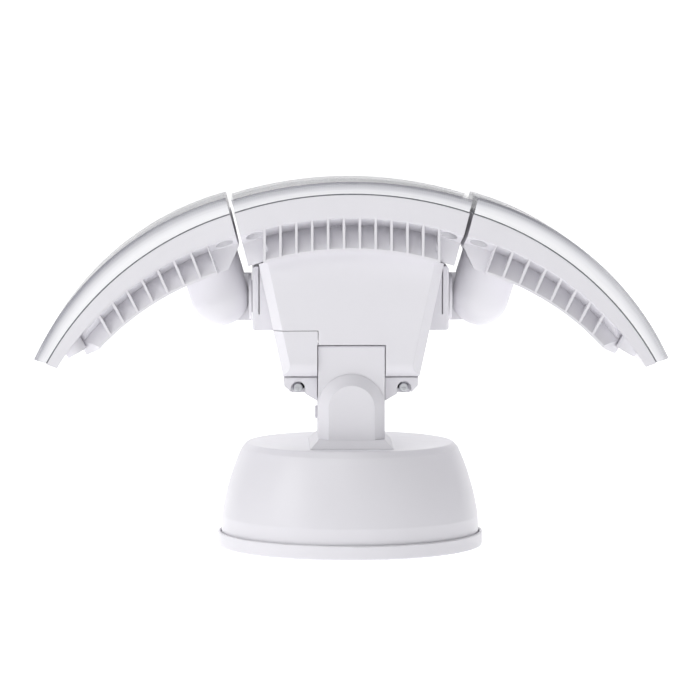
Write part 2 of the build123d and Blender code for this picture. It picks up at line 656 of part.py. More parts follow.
def pod_passage():
    """Cable passage from the head into the camera pod."""
    centre = (0, HEAD_BACK_Y - 2 * CASE_WALL, (POD_NECK_LOW_Z + POD_NECK_TOP_Z) / 2)
    return rod(POD_PASSAGE_R, centre, (0, 1, 0), 3 * CASE_WALL)


def make_ear():
    """Right ear: a solid cheek with the neck's bearing and a thin slot."""
    ear = block(ear_inner_x(), EAR_OUT_X, -EAR_HALF_DEPTH, EAR_HALF_DEPTH, EAR_LOW_Z, EAR_TOP_Z)
    ear = fillet(ear.faces().sort_by(Axis.X)[-1].edges(), 1.6)
    ear -= block(EAR_SLOT_X - EAR_SLOT_WIDTH / 2, EAR_SLOT_X + EAR_SLOT_WIDTH / 2,
                 -EAR_HALF_DEPTH, -NECK_COLLAR_R, EAR_SLOT_LOW_Z, EAR_TOP_Z)
    ear -= rod(NECK_SHAFT_R + RUN_CLEARANCE, (0, 0, NECK_Z), (1, 0, 0), EAR_OUT_X)
    return ear


# ================================================================ necks and knuckles
def make_neck():
    """Right neck: shaft in the ear, cupped collar, flat tongue round the swing pin."""
    start = retainer_x() - 1.5
    collar_x = EAR_OUT_X + CASE_GAP
    half = TONGUE_THICKNESS / 2
    centre = (NECK_X, 0, NECK_Z)
    shaft = rod(NECK_SHAFT_R, (start, 0, NECK_Z), (1, 0, 0), collar_x - start)
    collar = rod(NECK_COLLAR_R, (collar_x, 0, NECK_Z), (1, 0, 0), NECK_COLLAR_THICKNESS)
    collar -= Pos(*centre) * Sphere(KNUCKLE_R + MOVE_GAP)
    reach = block(collar_x, NECK_X, -half, half, NECK_Z - NECK_COLLAR_R, NECK_Z + NECK_COLLAR_R)
    tip = rod(NECK_COLLAR_R, (NECK_X, -half, NECK_Z), (0, 1, 0), TONGUE_THICKNESS)
    neck = shaft + collar + reach + tip
    neck -= rod(SWING_PIN_R + RUN_CLEARANCE, (NECK_X, -half, NECK_Z), (0, 1, 0), TONGUE_THICKNESS)
    neck -= tube(NECK_SHAFT_R, NECK_SHAFT_R - RETAINER_GRIP, (retainer_x(), 0, NECK_Z), (1, 0, 0),
                 RETAINER_THICKNESS)
    return neck - rod(NECK_SHAFT_R / 2, (start, 0, NECK_Z), (1, 0, 0), collar_x - start)


def knuckle_lean():
    """Direction of the right knuckle's stub."""
    lean = radians(KNUCKLE_TILT)
    return sin(lean), 0, cos(lean)


def retainer_x():
    return ear_inner_x() - RETAINER_THICKNESS - MOVE_GAP


def ear_inner_x():
    return head_side_x(EAR_LOW_Z) - EAR_ROOT


def make_neck_retainer():
    """Snap ring in the shaft's groove, inside the ear."""
    ring = tube(RETAINER_R, NECK_SHAFT_R - RETAINER_GRIP, (retainer_x(), 0, NECK_Z), (1, 0, 0),
                RETAINER_THICKNESS)
    opening = block(-SHELL_OVER, EAR_OUT_X, -2.0, 2.0, NECK_Z, NECK_Z + RETAINER_R + 1)
    return ring - opening


def tongue_sweep():
    """Outline, seen along Y, that the tongue sweeps in the knuckle over the swing."""
    clear = NECK_COLLAR_R + MOVE_GAP
    reach = TONGUE_REACH
    turn = radians(SWING_LIMIT + 1)
    low_start = (clear * sin(turn), -clear * cos(turn))
    low_end = (low_start[0] - reach * cos(turn), low_start[1] - reach * sin(turn))
    fan = polygon([(0, clear), (-reach, clear), low_end, low_start, (0, 0)])
    return fan + Circle(clear)


def make_knuckle():
    """Right knuckle: ball end and stub that leans towards its panel, slotted for the tongue."""
    centre = (NECK_X, 0, NECK_Z)
    ball = Pos(*centre) * Sphere(KNUCKLE_R)
    stub = rod(KNUCKLE_R, centre, knuckle_lean(), TONGUE_REACH)
    knuckle = ball + stub
    knuckle &= prism_y(mirrored_disc(WING_BAND_ARC), -SHELL_OVER, SHELL_OVER)
    fins = between(WING_BAND_ARC, WING_FIN_ARC, 1.0) & polygon(wing_fin_outline())
    knuckle -= mirror(prism_y(fins, -SHELL_OVER, SHELL_OVER), about=Plane.YZ)
    knuckle -= prism_y(centre_clearance(), -SHELL_OVER, SHELL_OVER)
    half_slot = TONGUE_THICKNESS / 2 + MOVE_GAP
    slot = prism_y(Pos(NECK_X, NECK_Z) * tongue_sweep(), -half_slot, half_slot)
    knuckle -= slot
    knuckle -= rod(SWING_PIN_R, (NECK_X, SWING_PIN_START_Y, NECK_Z), (0, 1, 0), 2 * KNUCKLE_R)
    return largest(knuckle)


def mirrored_disc(arc):
    centre_x, centre_z, radius = arc
    return Pos(-centre_x, centre_z) * Circle(radius)


def make_swing_pin():
    """Steel pin through the knuckle and the tongue, driven in from the ground side."""
    return rod(SWING_PIN_R, (NECK_X, SWING_PIN_START_Y, NECK_Z), (0, 1, 0), SWING_PIN_LENGTH)


# ================================================================ light panels
class Panel:
    """One light panel, described by its arcs and end lines in the XZ plane."""

    def __init__(self, lens, seam, band, fins, end_outline, fin_outline, ribs, screw_xs, ribbed, screw_side):
        self.lens = lens
        self.seam = seam
        self.band = band
        self.fins = fins
        self.end_outline = end_outline
        self.fin_outline = fin_outline
        self.ribs = ribs
        self.screw_xs = screw_xs
        self.ribbed = ribbed
        self.screw_side = screw_side

    def ends(self, inset=0.0):
        face = polygon(self.end_outline)
        return offset(face, -inset, kind=Kind.INTERSECTION) if inset else face


def end_line_x(z, shift=0.0):
    """X of the centre panel's right end at a height."""
    return CENTRE_END_X + shift + PANEL_END_SLOPE * (z - CENTRE_END_Z)


def rib_plate(x, z, lean):
    """A rib's outline: a tall strip that leans away from the vertical."""
    return Pos(x, z) * Rot(0, 0, lean) * Rectangle(RIB_THICKNESS, SHELL_OVER)


def centre_panel():
    low, high = OUTLINE_LOW_Z, OUTLINE_HIGH_Z
    right_end = [(end_line_x(high), high), (end_line_x(low), low)]
    ends = [(-x, z) for x, z in reversed(right_end)] + right_end
    first = -(CENTRE_RIBS - 1) / 2 * CENTRE_RIB_PITCH
    ribs = []
    ribbed = Rectangle(-2 * first + RIB_THICKNESS, 8 * SHELL_OVER)
    for index in range(CENTRE_RIBS):
        x = first + index * CENTRE_RIB_PITCH
        ribs.append(rib_plate(x, arc_point(CENTRE_FIN_ARC, x)[1], 0))
    return Panel(CENTRE_LENS_ARC, CENTRE_SEAM_ARC, CENTRE_BAND_ARC, CENTRE_FIN_ARC, ends, ends, ribs,
                 [-CENTRE_SCREW_X, CENTRE_SCREW_X], ribbed, Rectangle(4 * SHELL_OVER, 8 * SHELL_OVER))


def wing_end_lean():
    """Direction, away from the fins' tips, of the left panel's last rib and tip screws."""
    lean = radians(WING_RIB_LEAN_END)
    return -sin(lean), cos(lean)


def wing_fin_outline():
    """Outline of the left panel's fins, out to the far side of their sloped end."""
    up_x, up_z = wing_end_lean()
    corner_x = WING_FIN_CORNER[0] - WING_WEB_REACH * up_z
    corner_z = WING_FIN_CORNER[1] + WING_WEB_REACH * up_x
    return [WING_FIN_ROOT[0], WING_FIN_ROOT[1], (OUTLINE_FIN_X, WING_FIN_ROOT[1][1]),
            (corner_x + SHELL_OVER * up_x, corner_z + SHELL_OVER * up_z), (corner_x, corner_z)]


def wing_web_cut():
    """Wedge off the front corner of the left panel's fins, which leaves their sloped end."""
    up_x, up_z = wing_end_lean()
    corner = Plane(origin=(WING_FIN_CORNER[0], -PANEL_HALF_DEPTH + FIN_INSET, WING_FIN_CORNER[1]),
                   x_dir=(-up_z, 0, up_x), z_dir=(up_x, 0, up_z))
    reach, depth = 2 * WING_WEB_REACH, 2 * WING_WEB_DEPTH
    sign = 1 if corner.y_dir.Y > 0 else -1
    wedge = make_face(Polyline((0, 0), (reach, sign * depth), (reach, -sign * FIN_INSET),
                               (0, -sign * FIN_INSET), close=True).edges())
    return corner * Pos(0, 0, -SHELL_OVER / 2) * extrude(wedge, 2 * SHELL_OVER)


def centre_clearance():
    """Right half of the centre panel's outline, grown by the gap to the side panels."""
    low, high = NECK_Z + KNUCKLE_R, CENTRE_BAND_ARC[2]
    return polygon([(0, low), (end_line_x(low, PANEL_GAP), low),
                    (end_line_x(high, PANEL_GAP), high), (0, high)])


def wing_end_outline():
    """Outline of the left panel: its two end lines, drawn out past the arcs."""
    low, high = OUTLINE_LOW_Z, OUTLINE_HIGH_Z
    tip_x, tip_z = WING_TIP
    end = [(x, tip_z + WING_TIP_SLOPE * (x - tip_x)) for x in (OUTLINE_FAR_X, OUTLINE_FOOT_X)]
    return [(-end_line_x(low, PANEL_GAP), low), (-end_line_x(high, PANEL_GAP), high),
            (OUTLINE_FAR_X, high)] + end


def wing_rib_place(share):
    """Place and lean of a rib, from the first at 0 to the last at 1."""
    around = radians(WING_RIB_START + share * (WING_RIB_END - WING_RIB_START))
    x = WING_FIN_ARC[0] - WING_FIN_ARC[2] * sin(around)
    z = WING_FIN_ARC[1] + WING_FIN_ARC[2] * cos(around)
    return x, z, WING_RIB_LEAN_START + share * (WING_RIB_LEAN_END - WING_RIB_LEAN_START)


def left_panel():
    ribs = [rib_plate(*wing_rib_place(index / (WING_RIBS - 1))) for index in range(WING_RIBS)]
    wide = 8 * SHELL_OVER
    x, z, lean = wing_rib_place(0)
    ribbed = Pos(x, z) * Rot(0, 0, lean) * Pos(-wide / 2, 0) * Rectangle(wide, wide)
    screw_side = Pos(WING_ROOT_SCREW_X, 0) * Rectangle(SHELL_OVER, wide)
    return Panel(WING_LENS_ARC, WING_SEAM_ARC, WING_BAND_ARC, WING_FIN_ARC, wing_end_outline(),
                 wing_fin_outline(), ribs, [WING_ROOT_SCREW_X, WING_TIP_SCREW_X], ribbed, screw_side)


def turned(section, arc):
    """A section in radius and Y, turned round an arc's centre line."""
    centre_x, centre_z = arc[:2]
    upright = Plane(origin=(centre_x, 0, centre_z), x_dir=(0, 0, 1), z_dir=(-1, 0, 0))
    face = make_face(Polyline(*section, close=True).edges())
    return revolve(upright * face, Axis((centre_x, 0, centre_z), (0, 1, 0)), 360)


def pocket_groove(panel):
    """Pockets along the front of the fins: a sloped ledge, and a wall that comes forward below it."""
    face_y = -PANEL_HALF_DEPTH
    front_y = face_y + FIN_INSET
    deep_y = front_y + GROOVE_DEPTH
    band_r = panel.band[2]
    fin_r = panel.fins[2]
    rise = panel.band[2] + panel.band[1] - panel.fins[1] - fin_r - GROOVE_DROP
    below_ledge = turned([(0, face_y), (band_r - GROOVE_LIP / 4, face_y), (band_r - GROOVE_DROP, deep_y),
                          (0, deep_y)], panel.band)
    before_wall = turned([(fin_r + GROOVE_LIP, face_y), (fin_r + GROOVE_LIP, front_y), (fin_r + rise, deep_y),
                          (fin_r + SHELL_OVER, deep_y), (fin_r + SHELL_OVER, face_y)], panel.fins)
    outline = polygon(panel.fin_outline)
    groove = below_ledge & before_wall & prism_y(outline & panel.ribbed, face_y - 1, 0)
    for rib in panel.ribs:
        groove -= prism_y(rib, face_y - 1, 0)
    open_ends = below_ledge & prism_y((outline & panel.screw_side) - panel.ribbed, face_y - 1, 0)
    return groove + open_ends


def screw_axes(panel):
    """Places and directions of the panel's screws, on the band's lower edge."""
    axes = []
    for x in panel.screw_xs:
        point_x, point_z = arc_point(panel.band, x)
        out_x, out_z = outward(panel.band, x)
        if x < WING_FIN_CORNER[0]:
            out_x, out_z = wing_end_lean()
        for side in (-1, 1):
            y = side * (PANEL_HALF_DEPTH - PANEL_SCREW_INSET_Y)
            axes.append(((point_x, y, point_z), (out_x, 0, out_z)))
    return axes


def shifted(point, direction, amount):
    return tuple(p + d * amount for p, d in zip(point, direction))


def make_panel_housing(panel):
    depth = PANEL_HALF_DEPTH
    band = between(panel.seam, panel.band) & panel.ends()
    band = prism_y(band, -depth, depth)
    hollow = between(panel.seam, panel.band, 1, PANEL_FLOOR) & panel.ends(PANEL_WALL)
    hollow = prism_y(hollow, -depth + PANEL_WALL, depth - PANEL_WALL)
    fins = between(panel.band, panel.fins, 0.5) & polygon(panel.fin_outline) & panel.ends()
    fins = prism_y(fins, -depth + FIN_INSET, depth - FIN_INSET)
    groove = pocket_groove(panel)
    if panel.fins == WING_FIN_ARC:
        groove += wing_web_cut() & prism_y(disc(panel.band, -GROOVE_LIP / 4), -depth - 1, 0)
    housing = band + fins - groove - mirror(groove, about=Plane.XZ)
    for point, direction in screw_axes(panel):
        if point[0] < WING_FIN_CORNER[0]:
            start = shifted(point, direction, -WING_TIP_BOSS_DROP)
            housing += rod(PANEL_SCREW_BORE_R + WING_TIP_BOSS_WALL, start, direction,
                           WING_TIP_BOSS_DROP + PANEL_FLOOR)
    housing -= hollow
    body = prism_y(between(panel.seam, panel.band) & panel.ends(), -depth, depth)
    for point, direction in screw_axes(panel):
        housing += screw_pillar(point, direction) & body
        housing -= rod(PANEL_SCREW_BORE_R, shifted(point, direction, -PANEL_BORE_REACH), direction,
                       PANEL_BORE_REACH + PANEL_SCREW_SEAT)
        housing -= rod(PANEL_SCREW_R, point, direction, PANEL_FLOOR + 2 * PANEL_PILLAR_HEIGHT)
    return largest(housing)


def screw_pillar(point, direction):
    """Round post on the panel's floor, round a screw."""
    start = shifted(point, direction, PANEL_SCREW_SEAT / 2)
    return rod(PANEL_SCREW_BORE_R + PANEL_PILLAR_WALL, start, direction, PANEL_FLOOR + PANEL_PILLAR_HEIGHT)


def make_panel_screws(panel):
    return Compound(children=[
        pan_screw(PANEL_SCREW_HEAD_R, PANEL_SCREW_HEAD_H, PANEL_SCREW_R, PANEL_FLOOR + 2.0,
                  shifted(point, direction, PANEL_SCREW_SEAT), direction)
        for point, direction in screw_axes(panel)])


def make_panel_seal(panel):
    """Dark gasket between the housing's rim and the lens."""
    depth = PANEL_HALF_DEPTH - LENS_INSET
    ring = between(panel.seam, panel.seam, SEAL_THICKNESS, 0)
    outer = prism_y(ring & panel.ends(LENS_INSET), -depth, depth)
    inner = prism_y(between(panel.seam, panel.seam, 2, -1) & panel.ends(LENS_INSET + SEAL_WIDTH),
                    -depth + SEAL_WIDTH, depth - SEAL_WIDTH)
    return outer - inner


def make_panel_lens(panel):
    """Clear cover: curved front with side walls down to the gasket."""
    depth = PANEL_HALF_DEPTH - LENS_INSET * 0.5
    inset = LENS_INSET * 0.5
    outer = prism_y(between(panel.lens, panel.seam, 0, SEAL_THICKNESS) & panel.ends(inset), -depth, depth)
    rim = outer.faces().filter_by(GeomType.CYLINDER).sort_by(SortBy.AREA)[-1]
    outer = chamfer(rim.edges().filter_by(GeomType.CIRCLE), LENS_BEVEL)
    inner_face = between(panel.lens, panel.seam, -LENS_WALL, -2) & panel.ends(inset + LENS_WALL)
    inner = prism_y(inner_face, -depth + LENS_WALL, depth - LENS_WALL)
    return outer - inner


def reflector_rim():
    """Width of the reflector round its opening, from the panel's ends."""
    return PANEL_WALL + REFLECTOR_RIM


def reflector_opening_half():
    """Half depth of the reflector's opening, clear of the panel's screws."""
    pillar_r = PANEL_SCREW_BORE_R + PANEL_PILLAR_WALL
    return PANEL_HALF_DEPTH - PANEL_SCREW_INSET_Y - pillar_r - REFLECTOR_SIDE_RIM


def make_led_board(panel):
    """Curved board on the housing's floor with rows of light-emitting chips."""
    low = PANEL_FLOOR
    inset = reflector_rim() + CASE_GAP
    depth = reflector_opening_half() - CASE_GAP
    board = between(panel.band, panel.band, low + LED_BOARD_THICKNESS, low) & panel.ends(inset)
    board = prism_y(board, -depth, depth)
    chips = []
    start, end = max(panel.screw_xs), min(panel.screw_xs)
    for step in range(LED_COLUMNS):
        x = start + (end - start) * (step + 0.5) / LED_COLUMNS
        point_x, point_z = arc_point(panel.band, x)
        out_x, out_z = outward(panel.band, x)
        reach = low + LED_BOARD_THICKNESS - 0.1
        for y in (-LED_ROW_PITCH, 0.0, LED_ROW_PITCH):
            centre = (point_x + out_x * reach, y, point_z + out_z * reach)
            place = Plane(origin=centre, z_dir=(out_x, 0, out_z))
            chips.append(extrude(place * Rectangle(LED_SIZE, LED_SIZE), LED_HEIGHT + 0.1))
    for chip in chips:
        board += chip
    return board


def make_reflector(panel):
    """White tray round the board: a floor under the lens with sloping walls."""
    depth = PANEL_HALF_DEPTH - PANEL_WALL - CASE_GAP
    inset = PANEL_WALL + CASE_GAP
    low = REFLECTOR_DROP + REFLECTOR_THICKNESS
    plate = between(panel.seam, panel.seam, -REFLECTOR_DROP, -low) & panel.ends(inset)
    plate = prism_y(plate, -depth, depth)
    opening_half = reflector_opening_half()
    opening = between(panel.seam, panel.band) & panel.ends(reflector_rim())
    plate -= prism_y(opening, -opening_half, opening_half)
    for point, direction in screw_axes(panel):
        plate -= rod(PANEL_SCREW_BORE_R + PANEL_PILLAR_WALL + CASE_GAP, point, direction, SHELL_OVER)
    return largest(plate)


# ================================================================ camera pod
def pod_point(x, y_offset, z):
    return x, POD_Y + y_offset, z


def make_pod_shell():
    low = POD_LOW_Z + POD_CAP_HEIGHT
    outer = rod(POD_R, pod_point(0, 0, low), (0, 0, 1), POD_FACE_Z - low)
    neck = block(-POD_NECK_HALF_WIDTH, POD_NECK_HALF_WIDTH, HEAD_BACK_Y, POD_Y - POD_R / 2,
                 POD_NECK_LOW_Z, POD_NECK_TOP_Z)
    neck = fillet(neck.edges().filter_by(Axis.Y), 4.0)
    hollow = rod(POD_R - CASE_WALL, pod_point(0, 0, low), (0, 0, 1), POD_FACE_Z - low)
    half = POD_NECK_HALF_WIDTH - CASE_WALL
    neck_hollow = block(-half, half, HEAD_BACK_Y + CASE_WALL, POD_Y,
                        POD_NECK_LOW_Z + CASE_WALL, POD_NECK_TOP_Z - CASE_WALL)
    shell = outer + neck - hollow - neck_hollow
    passage = (0, HEAD_BACK_Y, (POD_NECK_LOW_Z + POD_NECK_TOP_Z) / 2)
    shell -= rod(POD_PASSAGE_R, passage, (0, 1, 0), 2 * CASE_WALL)
    shell -= rod(PIR_R - 1.5, pod_point(0, 0, PIR_Z), (0, 1, 0), POD_R + 2)
    return shell


def make_pod_rear_cap():
    low = POD_LOW_Z
    cap = rod(POD_R, pod_point(0, 0, low), (0, 0, 1), POD_CAP_HEIGHT)
    cap = fillet(cap.faces().sort_by(Axis.Z)[0].edges(), 2.5)
    cap -= rod(POD_R - 2 * CASE_WALL, pod_point(0, 0, low + CASE_WALL), (0, 0, 1), POD_CAP_HEIGHT)
    for x, y in grille_holes():
        cap -= rod(GRILLE_HOLE_R, pod_point(x, y, low), (0, 0, 1), CASE_WALL)
    cap -= rod(BUTTON_R + CASE_GAP, pod_point(0, BUTTON_Y_OFFSET, low), (0, 0, 1), CASE_WALL)
    return cap


def grille_holes():
    """Hexagonal pattern of speaker holes."""
    holes = []
    for row in range(-3, 4):
        for column in range(-3, 4):
            x = (column + (row % 2) / 2) * GRILLE_PITCH
            y = row * GRILLE_PITCH * 0.866
            if hypot(x, y) < SPEAKER_R * 0.75:
                holes.append((x, y))
    return holes


def make_reset_button():
    low = POD_LOW_Z - BUTTON_PROUD
    button = rod(BUTTON_R, pod_point(0, BUTTON_Y_OFFSET, low), (0, 0, 1), BUTTON_LENGTH)
    button = fillet(button.faces().sort_by(Axis.Z)[0].edges(), 0.5)
    flange_z = POD_LOW_Z + CASE_WALL + SEAT_GAP
    return button + rod(BUTTON_R + 0.9, pod_point(0, BUTTON_Y_OFFSET, flange_z), (0, 0, 1), 0.8)


def button_back_z():
    return POD_LOW_Z - BUTTON_PROUD + BUTTON_LENGTH


def make_button_spring():
    """Small closed coil stack behind the button, as a sleeve."""
    start = pod_point(0, BUTTON_Y_OFFSET, button_back_z() + 0.02)
    return tube(BUTTON_R - 0.6, BUTTON_R - 1.2, start, (0, 0, 1), speaker_top_z() - button_back_z() - 0.04)


def speaker_top_z():
    return POD_LOW_Z + CASE_WALL + SPEAKER_DEPTH


def make_speaker():
    """Speaker with its magnet, on the rear cap, with the button's small board beside it."""
    low = POD_LOW_Z + CASE_WALL
    basket = tube(SPEAKER_R, SPEAKER_R - 3, pod_point(0, 0, low), (0, 0, 1), 3.0)
    cone = rod(SPEAKER_R, pod_point(0, 0, low + 3.0), (0, 0, 1), 1.0)
    magnet = rod(SPEAKER_R * 0.6, pod_point(0, 0, low + 4.0), (0, 0, 1), SPEAKER_DEPTH - 4.0)
    return basket + cone + magnet


def make_button_board():
    """Small board that the button presses on; it also carries the card socket."""
    top = speaker_top_z()
    board = rod(POD_R - CASE_WALL - CASE_GAP, pod_point(0, 0, top), (0, 0, 1), BOARD_THICKNESS)
    board -= rod(4.0, pod_point(0, 0, top), (0, 0, 1), BOARD_THICKNESS)
    return board


def make_pod_bezel():
    low = POD_FACE_Z
    ring = tube(POD_R, WINDOW_R - 1.2, pod_point(0, 0, low), (0, 0, 1), BEZEL_HEIGHT)
    top_edges = ring.edges().filter_by(GeomType.CIRCLE).group_by(Axis.Z)[-1]
    ring = fillet(top_edges.sort_by(SortBy.LENGTH)[-1:], BEZEL_EDGE_R)
    ring -= rod(WINDOW_R + SEAT_GAP, pod_point(0, 0, low), (0, 0, 1), WINDOW_THICKNESS + SEAT_GAP)
    return ring


def make_front_window():
    return rod(WINDOW_R, pod_point(0, 0, POD_FACE_Z), (0, 0, 1), WINDOW_THICKNESS)


def make_lens_barrel():
    top = POD_FACE_Z - MOVE_GAP
    start = pod_point(0, 0, top - BARREL_LENGTH)
    barrel = rod(BARREL_R, start, (0, 0, 1), BARREL_LENGTH)
    barrel -= rod(LENS_GLASS_R, pod_point(0, 0, top - LENS_GLASS_DEPTH), (0, 0, 1), LENS_GLASS_DEPTH)
    barrel -= rod(BARREL_BORE_R, start, (0, 0, 1), BARREL_LENGTH)
    return barrel


def make_lens_glass():
    """Front element: a shallow dome on a disc."""
    low = POD_FACE_Z - MOVE_GAP - LENS_GLASS_DEPTH
    element = rod(LENS_GLASS_R, pod_point(0, 0, low), (0, 0, 1), LENS_GLASS_HEIGHT)
    return fillet(element.faces().sort_by(Axis.Z)[-1].edges(), LENS_GLASS_HEIGHT * 0.8)


def make_image_sensor_board():
    top = POD_FACE_Z - MOVE_GAP - BARREL_LENGTH
    board = Pos(*pod_point(0, 0, top - BOARD_THICKNESS / 2)) * Box(
        SENSOR_BOARD_SIZE, SENSOR_BOARD_SIZE, BOARD_THICKNESS)
    chip = Pos(*pod_point(0, 0, top - BOARD_THICKNESS - 0.6)) * Box(12, 12, 1.2)
    return board + chip


def make_ir_led_ring():
    """Black ring board behind the window, with the infrared LEDs standing on it."""
    low = POD_FACE_Z - MOVE_GAP - IR_LED_HEIGHT
    ring_start = pod_point(0, 0, low - BOARD_THICKNESS)
    ring = tube(POD_R - CASE_WALL - CASE_GAP, BARREL_R + CASE_GAP, ring_start, (0, 0, 1), BOARD_THICKNESS)
    for index in range(IR_LED_COUNT):
        turn = radians(30 + index * 360 / IR_LED_COUNT)
        led = rod(IR_LED_R, pod_point(IR_LED_RING_R * cos(turn), IR_LED_RING_R * sin(turn), low),
                  (0, 0, 1), IR_LED_HEIGHT)
        ring += fillet(led.faces().sort_by(Axis.Z)[-1].edges(), IR_LED_R * 0.7)
    return ring


def make_motion_lens():
    """White domed lens on the ground side of the pod."""
    start = pod_point(0, POD_R - PIR_ROOT, PIR_Z)
    lens = rod(PIR_R, start, (0, 1, 0), PIR_REACH + PIR_ROOT)
    lens = fillet(lens.faces().sort_by(Axis.Y)[-1].edges(), PIR_REACH)
    hollow = rod(PIR_R - PIR_SKIN, start, (0, 1, 0), PIR_REACH + PIR_ROOT - PIR_SKIN)
    hollow = fillet(hollow.faces().sort_by(Axis.Y)[-1].edges(), PIR_REACH - PIR_SKIN)
    shell = lens - hollow
    return shell - rod(POD_R + SEAT_GAP, pod_point(0, 0, POD_LOW_Z), (0, 0, 1), POD_FACE_Z)


def make_motion_sensor():
    can = rod(4.6, pod_point(0, POD_R - 8.0, PIR_Z), (0, 1, 0), 4.2)
    board = Pos(*pod_point(0, POD_R - 8.8, PIR_Z)) * Box(18, 1.6, 18)
    return can + board


# ================================================================ boards in the head
def make_main_board():
    board = Pos(0, BOARD_Y, BOARD_Z) * Box(BOARD_WIDTH, BOARD_THICKNESS, BOARD_HEIGHT)
    face = BOARD_Y - BOARD_THICKNESS / 2
    board += block(-9, 9, face - 1.6, face, BOARD_Z - 9, BOARD_Z + 9)
    board += block(-24, -15, face - 1.2, face, BOARD_Z - 5, BOARD_Z + 7)
    board += block(15, 25, face - 5.0, face, BOARD_Z - 12, BOARD_Z - 4)
    return board


def make_led_driver():
    width, depth, height = DRIVER_SIZE
    front = HEAD_FRONT_Y + 2 * CASE_WALL
    case = block(-width / 2, width / 2, front, front + depth, BOARD_Z - height / 2, BOARD_Z + height / 2)
    return fillet(case.edges().filter_by(Axis.Y), 2.0)


# ================================================================ assembly
def panel_nodes(prefix, panel, flip=False):
    pieces = {
        "heat_sink": make_panel_housing(panel),
        "led_board": make_led_board(panel),
        "reflector": make_reflector(panel),
        "lens_seal": make_panel_seal(panel),
        "lens": make_panel_lens(panel),
        "panel_screws": make_panel_screws(panel),
    }
    return {prefix + "_" + name: (mirrored(shape) if flip else shape) for name, shape in pieces.items()}


def side_nodes(prefix, flip):
    pieces = {
        "ear": make_ear(),
        "neck": make_neck(),
        "neck_ring": make_neck_retainer(),
        "knuckle": make_knuckle(),
        "swing_pin": make_swing_pin(),
    }
    return {prefix + "_" + name: (mirrored(shape) if flip else shape) for name, shape in pieces.items()}


def build_nodes():
    nodes = {
        "wall_plate": make_wall_plate(),
        "wall_gasket": make_wall_gasket(),
        "mounting_bracket": make_mounting_bracket(),
        "base_canopy": make_base_canopy(),
        "canopy_lock_screw": make_canopy_lock_screw(),
        "arm": make_arm(),
        "arm_rear_cover": make_arm_rear_cover(),
        "arm_side_screw": make_arm_side_screw(),
        "arm_screws": make_arm_screws(),
        "hinge_bolt": make_hinge_bolt(),
        "hinge_nut": make_hinge_nut(),
        "hinge_washers": make_hinge_washers(),
        "head_top_cover": make_head_top_cover(),
        "access_cover": make_access_cover(),
        "head_housing": make_head_housing(),
        "housing_screws": make_housing_screws(),
        "main_board": make_main_board(),
        "led_driver": make_led_driver(),
        "pod_shell": make_pod_shell(),
        "pod_rear_cap": make_pod_rear_cap(),
        "pod_bezel": make_pod_bezel(),
        "front_window": make_front_window(),
        "lens_barrel": make_lens_barrel(),
        "lens_glass": make_lens_glass(),
        "image_sensor_board": make_image_sensor_board(),
        "ir_led_ring": make_ir_led_ring(),
        "motion_lens": make_motion_lens(),
        "motion_sensor": make_motion_sensor(),
        "speaker": make_speaker(),
        "button_board": make_button_board(),
        "reset_button": make_reset_button(),
        "button_spring": make_button_spring(),
    }
    nodes.update(panel_nodes("centre", centre_panel()))
    wing = left_panel()
    nodes.update(panel_nodes("left", wing))
    nodes.update(panel_nodes("right", wing, flip=True))
    nodes.update(side_nodes("right", flip=False))
    nodes.update(side_nodes("left", flip=True))
    return nodes


os.makedirs("parts", exist_ok=True)
for node_name, node_shape in build_nodes().items():
    export_step(node_shape, "parts/" + node_name + ".step")
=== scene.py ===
"""Looks of the floodlight security camera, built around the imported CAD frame."""

import json
from math import asin, cos, pi, radians, sin

import bmesh
import bpy
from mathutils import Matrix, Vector


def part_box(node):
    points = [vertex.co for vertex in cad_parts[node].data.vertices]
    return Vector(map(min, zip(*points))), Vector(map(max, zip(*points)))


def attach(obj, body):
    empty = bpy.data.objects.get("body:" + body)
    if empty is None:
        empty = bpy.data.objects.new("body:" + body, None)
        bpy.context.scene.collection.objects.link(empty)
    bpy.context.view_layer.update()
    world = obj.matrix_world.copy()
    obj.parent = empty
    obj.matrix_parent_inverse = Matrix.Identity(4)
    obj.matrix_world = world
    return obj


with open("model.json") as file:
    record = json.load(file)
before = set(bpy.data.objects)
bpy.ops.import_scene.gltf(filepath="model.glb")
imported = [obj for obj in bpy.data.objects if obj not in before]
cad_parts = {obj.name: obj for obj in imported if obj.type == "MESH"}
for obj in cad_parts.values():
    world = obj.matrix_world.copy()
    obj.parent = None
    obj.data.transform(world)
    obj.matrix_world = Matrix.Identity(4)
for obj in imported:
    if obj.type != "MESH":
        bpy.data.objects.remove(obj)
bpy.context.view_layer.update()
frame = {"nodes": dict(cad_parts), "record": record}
NODES = frame["nodes"]

# The camera stands on the sky side, a little above and a little to the left.
CAMERA_DISTANCE = 2.040
CAMERA_HEIGHT = 0.267
CAMERA_AZIMUTH = -1.5
CAMERA_LENS = 211.4
CAMERA_AIM = (0.0, 0.0, 0.097)
SENSOR = 36.0
CAMERA_NEAR, CAMERA_FAR = 0.05, 60.0

